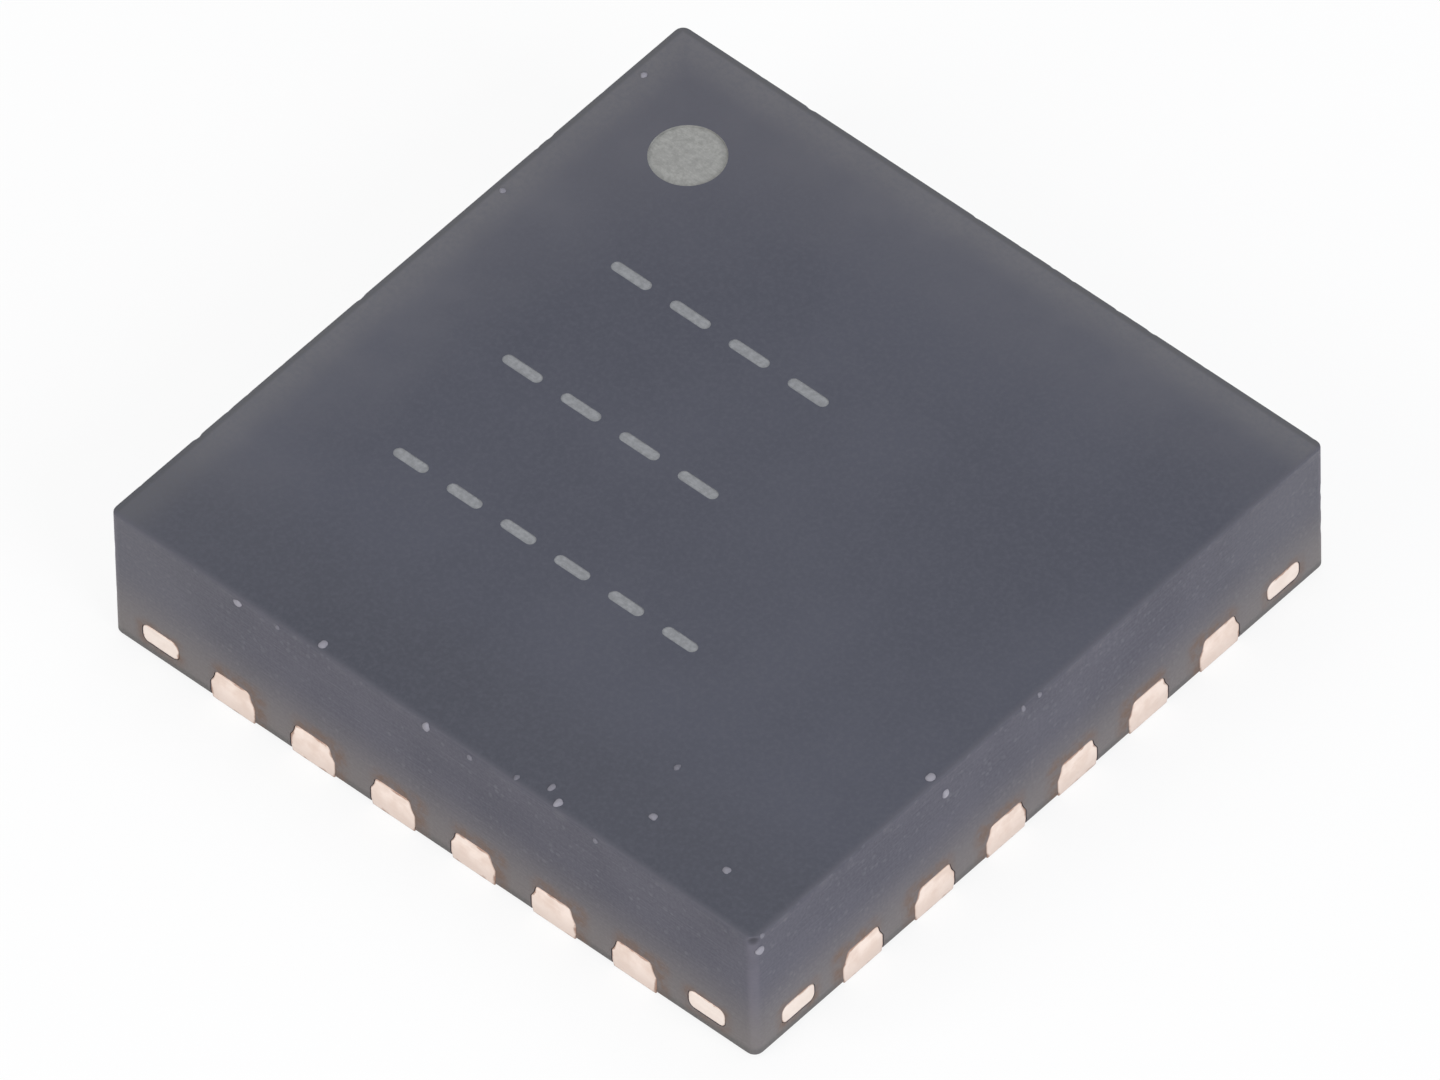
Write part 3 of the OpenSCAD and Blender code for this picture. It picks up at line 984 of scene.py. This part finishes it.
def seen_rays(g):
    """1 for rays that come from the camera, straight or by way of a reflection or glass."""
    path = g.add("LightPath").outputs
    either = g.maths("MAXIMUM", path["Is Camera Ray"], path["Is Glossy Ray"])
    return g.maths("MAXIMUM", either, path["Is Transmission Ray"])


def add_floor():
    """Pale floor that looks nearly white and keeps a little of the object's shadow."""
    bpy.ops.mesh.primitive_plane_add(size=FLOOR_SIZE * MM, location=(0, 0, -HAIRLINE * MM))
    floor = bpy.context.object
    floor.name = "floor"
    made, g = new_material("pale floor")
    tone = g.noise(g.millimetres(), scale=0.15, detail=2.0)
    paper = g.tint(FLOOR_DARK, FLOOR_LIGHT, tone, start=0.3, full=0.7)
    lit = g.add("BsdfDiffuse", Color=paper).outputs[0]
    white = g.add("Emission", Color=WHITE, Strength=1.0).outputs[0]
    seen = g.times(seen_rays(g), FLOOR_WHITE)
    g.add("OutputMaterial", Surface=g.add("MixShader", in0=seen, in1=lit, in2=white).outputs[0])
    floor.data.materials.append(made)


def add_surround():
    """Soft light from all around, seen by the camera as white."""
    world = bpy.data.worlds.new("studio")
    bpy.context.scene.world = world
    g = Graph(world)
    soft = g.add("Background", Color=SURROUND, Strength=SURROUND_STRENGTH).outputs[0]
    clear = g.add("Background", Color=WHITE, Strength=1.0).outputs[0]
    g.add("OutputWorld", Surface=g.add("MixShader", in0=seen_rays(g), in1=soft, in2=clear).outputs[0])


def add_lamps():
    """Three softboxes."""
    target = Vector(LAMP_TARGET) * MM
    for name, at, size, power, tint in LAMPS:
        lamp = bpy.data.lights.new(name, "AREA")
        lamp.shape = "SQUARE"
        lamp.size = size * MM
        lamp.energy = power
        lamp.color = tint
        holder = put(name, lamp)
        holder.location = Vector(at) * MM
        holder.rotation_euler = (target - holder.location).to_track_quat("-Z", "Y").to_euler()


# Camera, fitted to the photograph: angles in degrees, distance from the point that it aims at, and how far
# that point lies to the right of the origin and above it in the picture
AZIMUTH = 42.7246
ELEVATION = 49.2056
ROLL = -1.3964
DISTANCE = 180.0
AIM_RIGHT = 0.0062
AIM_UP = 0.2674
# Scale of the photograph at that distance, and its width in pixels
PIXELS_PER_MM = 214.6185
PHOTO_WIDTH = 1440.0
SENSOR_WIDTH = 36.0
CLIP_NEAR = 10
CLIP_FAR = 2000


def add_camera():
    """The photograph's viewing angle: a long lens, looking down on one corner, rolled a little."""
    azimuth = math.radians(AZIMUTH)
    elevation = math.radians(ELEVATION)
    roll = math.radians(ROLL)
    level = math.cos(elevation)
    back = Vector((math.sin(azimuth) * level, -math.cos(azimuth) * level, math.sin(elevation)))
    right = Vector((math.cos(azimuth), math.sin(azimuth), 0))
    up = back.cross(right)
    x_axis = right * math.cos(roll) + up * math.sin(roll)
    y_axis = up * math.cos(roll) - right * math.sin(roll)
    place = (right * AIM_RIGHT + up * AIM_UP + back * DISTANCE) * MM
    lens = bpy.data.cameras.new("camera")
    lens.sensor_fit = "HORIZONTAL"
    lens.sensor_width = SENSOR_WIDTH
    lens.lens = PIXELS_PER_MM * DISTANCE * SENSOR_WIDTH / PHOTO_WIDTH
    lens.clip_start = CLIP_NEAR * MM
    lens.clip_end = CLIP_FAR * MM
    made = put("camera", lens)
    made.matrix_world = Matrix((
        (x_axis.x, y_axis.x, back.x, place.x),
        (x_axis.y, y_axis.y, back.y, place.y),
        (x_axis.z, y_axis.z, back.z, place.z),
        (0, 0, 0, 1),
    ))
    bpy.context.scene.camera = made


# Pieces of the chip
copper = lead_copper()
body = put("epoxy_body", body_mesh())
finish_mesh(body.data, BODY_SHARP)
sort_faces(body.data, moulded_top(), sawn_epoxy(), laser_mark())
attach(body, "root")
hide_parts("mould_body")

for i in LEAD_NUMBERS:
    shell = Shell()
    lead_shell(shell, lead_place(i))
    lead = put("terminal_%d" % i, shell.mesh("terminal %d" % i))
    finish_mesh(lead.data, COPPER_SHARP)
    lead.data.materials.append(copper)
    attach(lead, "root")
    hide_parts("lead_%d" % i)

pad = put("etched_die_pad", pad_mesh("etched die pad"))
finish_mesh(pad.data, COPPER_SHARP)
pad.data.materials.append(copper)
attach(pad, "root")
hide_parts("die_pad")

dust = put("dust_specks", dust_mesh())
finish_mesh(dust.data, DUST_SHARP)
dust.data.materials.append(dust_material())
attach(dust, "root")

# Pieces inside the body keep their CAD meshes
silicon = mottled("silicon", SILICON_DARK, SILICON_LIGHT, rough=0.25, metallic=0.6, scale=12.0)
adhesive = mottled("silver adhesive", ADHESIVE_DARK, ADHESIVE_LIGHT, rough=0.5, metallic=0.4, scale=50.0)
gold = mottled("bond wire gold", GOLD_DARK, GOLD_LIGHT, rough=0.22, metallic=1.0, scale=60.0)
skins = {"die": silicon, "die_attach": adhesive}
skins.update({"bond_wire_%d" % i: gold for i in LEAD_NUMBERS})
for name, skin in skins.items():
    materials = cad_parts[name].data.materials
    materials.clear()
    materials.append(skin)

# Studio
add_floor()
add_surround()
add_lamps()
add_camera()
bpy.context.scene.view_settings.view_transform = "Standard"
